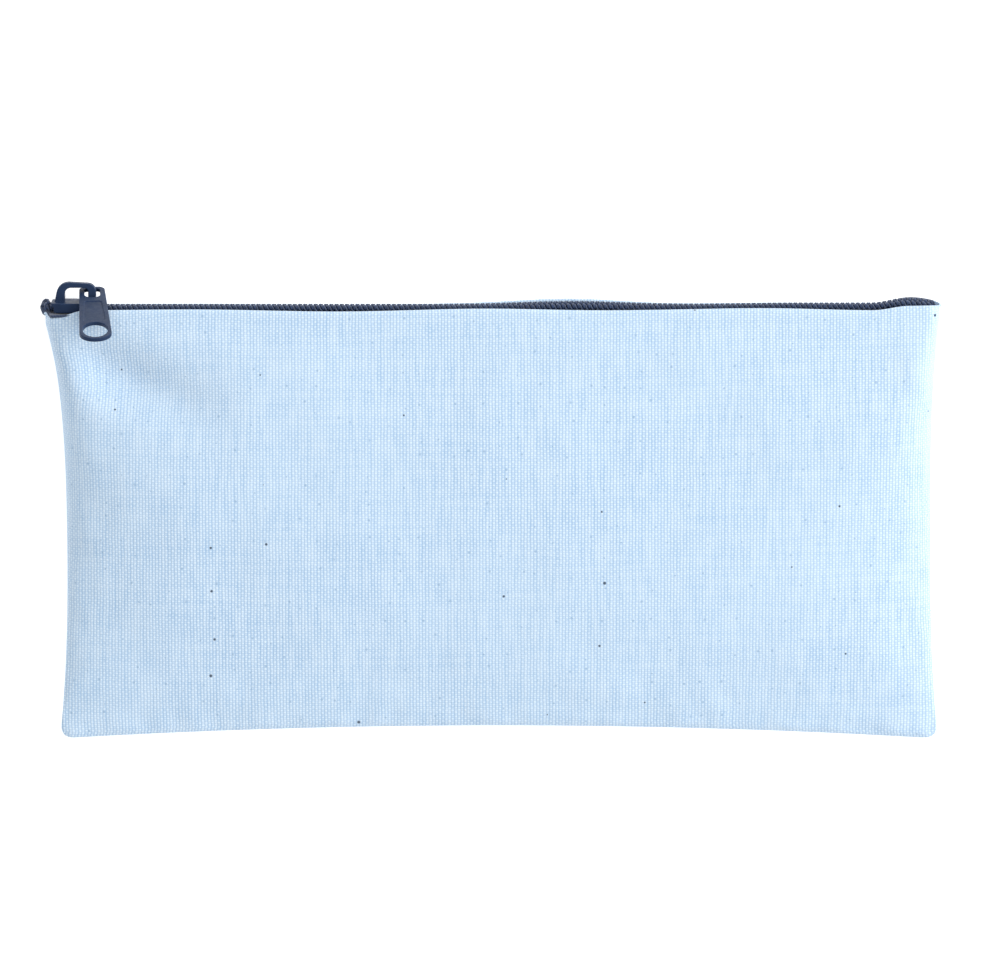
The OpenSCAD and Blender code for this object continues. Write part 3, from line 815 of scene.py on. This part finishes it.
def cast_piece(name, node, voxel, material):
    """Rounds the edges of a cast piece: its CAD shape is remeshed and smoothed. Its body has the node's name."""
    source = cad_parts[node]
    mesh = source.data.copy()
    mesh.name = name
    bm = bmesh.new()
    bm.from_mesh(mesh)
    bmesh.ops.remove_doubles(bm, verts=bm.verts, dist=1e-6)
    bm.to_mesh(mesh)
    bm.free()
    obj = bpy.data.objects.new(name, mesh)
    bpy.context.scene.collection.objects.link(obj)
    grid = obj.modifiers.new("Grid", "REMESH")
    grid.mode = "VOXEL"
    grid.voxel_size = voxel
    grid.use_smooth_shade = True
    soften = obj.modifiers.new("Soften", "SMOOTH")
    soften.factor = 0.5
    soften.iterations = 5
    finish_mesh(obj)
    set_up(obj, material, node, node)


# ---------------------------------------------------------------- operators

class PENCILCASE_OT_canvas(bpy.types.Operator):
    """Sews the front and back panels of canvas"""
    bl_idname = "pencil_case.canvas"
    bl_label = "Canvas panels"

    def execute(self, context):
        canvas = canvas_material()
        panel("front", canvas)
        panel("back", canvas)
        return {"FINISHED"}


class PENCILCASE_OT_zip(bpy.types.Operator):
    """Makes the zip's tapes, coils and the thread that holds them"""
    bl_idname = "pencil_case.zip"
    bl_label = "Zip"

    def execute(self, context):
        tapes()
        coils()
        return {"FINISHED"}


class PENCILCASE_OT_slider(bpy.types.Operator):
    """Makes the slider and its puller"""
    bl_idname = "pencil_case.slider"
    bl_label = "Slider and puller"

    def execute(self, context):
        lacquer = lacquer_material()
        cast_piece("zip_slider", "slider", 0.00011, lacquer)
        cast_piece("zip_puller", "puller", 0.0001, lacquer)
        return {"FINISHED"}


class PENCILCASE_OT_seams(bpy.types.Operator):
    """Finishes the seam threads inside the case"""
    bl_idname = "pencil_case.seams"
    bl_label = "Seam threads"

    def execute(self, context):
        canvas, _, _ = settings()
        thread = thread_material("Sewing thread", tuple(canvas.colour))
        for name in ("front_zip_seam", "back_zip_seam", "left_seam", "right_seam", "bottom_seam"):
            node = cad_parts[name]
            node.data.materials.clear()
            node.data.materials.append(thread)
        return {"FINISHED"}


FLOOR_HALF = 3.0
FLOOR_GLOW, WORLD_LIGHT = 0.45, 0.65
LIGHTS = (("key", (1.0, 0.2, 0.8), 0.9, 11.6), ("top", (0.1, 0.7, 1.4), 1.6, 5.0))  # name, place, size, watts
CAMERA_PLACE = (0.0002, 0.0112)   # the case sits below the middle of the picture
SENSOR = 36


class PENCILCASE_OT_stage(bpy.types.Operator):
    """Makes the floor, the lights and the camera"""
    bl_idname = "pencil_case.stage"
    bl_label = "Stage"

    def execute(self, context):
        _, _, stage = settings()
        corners = [(a * FLOOR_HALF, b * FLOOR_HALF, 0) for a, b in ((-1, -1), (1, -1), (1, 1), (-1, 1))]
        floor = make_mesh("floor", corners, [(0, 1, 2, 3)])
        material, tree, shader = new_material("White paper", 0.9, Specular_IOR_Level=0.0)
        place = tree.nodes.new("ShaderNodeTexCoord").outputs["Object"]
        tree.links.new(mix_colour(tree, noise_node(tree, place, 8, 2), (0.93, 0.93, 0.93, 1), (0.95, 0.95, 0.95, 1)),
                       shader.inputs["Base Color"])
        shader.inputs["Emission Color"].default_value = (1.0, 1.0, 1.0, 1.0)
        shader.inputs["Emission Strength"].default_value = FLOOR_GLOW
        floor.data.materials.append(material)
        world = bpy.data.worlds.new("Studio")
        world.use_nodes = True
        sky = world.node_tree.nodes["Background"]
        sky.inputs["Color"].default_value = (1.0, 1.0, 1.0, 1.0)
        sky.inputs["Strength"].default_value = WORLD_LIGHT * stage.light
        context.scene.world = world
        for name, place, size, power in LIGHTS:
            data = bpy.data.lights.new(name, "AREA")
            data.size = size
            data.energy = power * stage.light
            lamp = bpy.data.objects.new(name, data)
            lamp.location = place
            lamp.rotation_euler = Vector(place).to_track_quat("Z", "Y").to_euler()
            context.scene.collection.objects.link(lamp)
        data = bpy.data.cameras.new("camera")
        data.sensor_width = SENSOR
        data.lens = SENSOR * (stage.camera_height - zip_middle().z) / stage.picture_width
        camera = bpy.data.objects.new("camera", data)
        camera.location = (*CAMERA_PLACE, stage.camera_height)
        context.scene.collection.objects.link(camera)
        context.scene.camera = camera
        context.scene.view_settings.view_transform = "Standard"
        return {"FINISHED"}


class PENCILCASE_PT_panel(bpy.types.Panel):
    """Lists the steps that build the case"""
    bl_label = "Pencil Case"
    bl_idname = "PENCILCASE_PT_panel"
    bl_space_type = "VIEW_3D"
    bl_region_type = "UI"
    bl_category = "Pencil Case"

    def draw(self, context):
        for step in STEPS:
            self.layout.operator(step.bl_idname)


GROUPS = (CanvasSizes, ZipSizes, StageSizes)
STEPS = (PENCILCASE_OT_stage, PENCILCASE_OT_canvas, PENCILCASE_OT_zip, PENCILCASE_OT_slider, PENCILCASE_OT_seams)


def register():
    for item in GROUPS + STEPS + (PENCILCASE_PT_panel,):
        bpy.utils.register_class(item)
    bpy.types.Scene.case_canvas = bpy.props.PointerProperty(type=CanvasSizes)
    bpy.types.Scene.case_zip = bpy.props.PointerProperty(type=ZipSizes)
    bpy.types.Scene.case_stage = bpy.props.PointerProperty(type=StageSizes)


def unregister():
    for name in ("case_canvas", "case_zip", "case_stage"):
        delattr(bpy.types.Scene, name)
    for item in reversed(GROUPS + STEPS + (PENCILCASE_PT_panel,)):
        bpy.utils.unregister_class(item)


def main():
    register()
    bpy.ops.pencil_case.stage()
    bpy.ops.pencil_case.canvas()
    bpy.ops.pencil_case.zip()
    bpy.ops.pencil_case.slider()
    bpy.ops.pencil_case.seams()


if __name__ == "__main__":
    main()
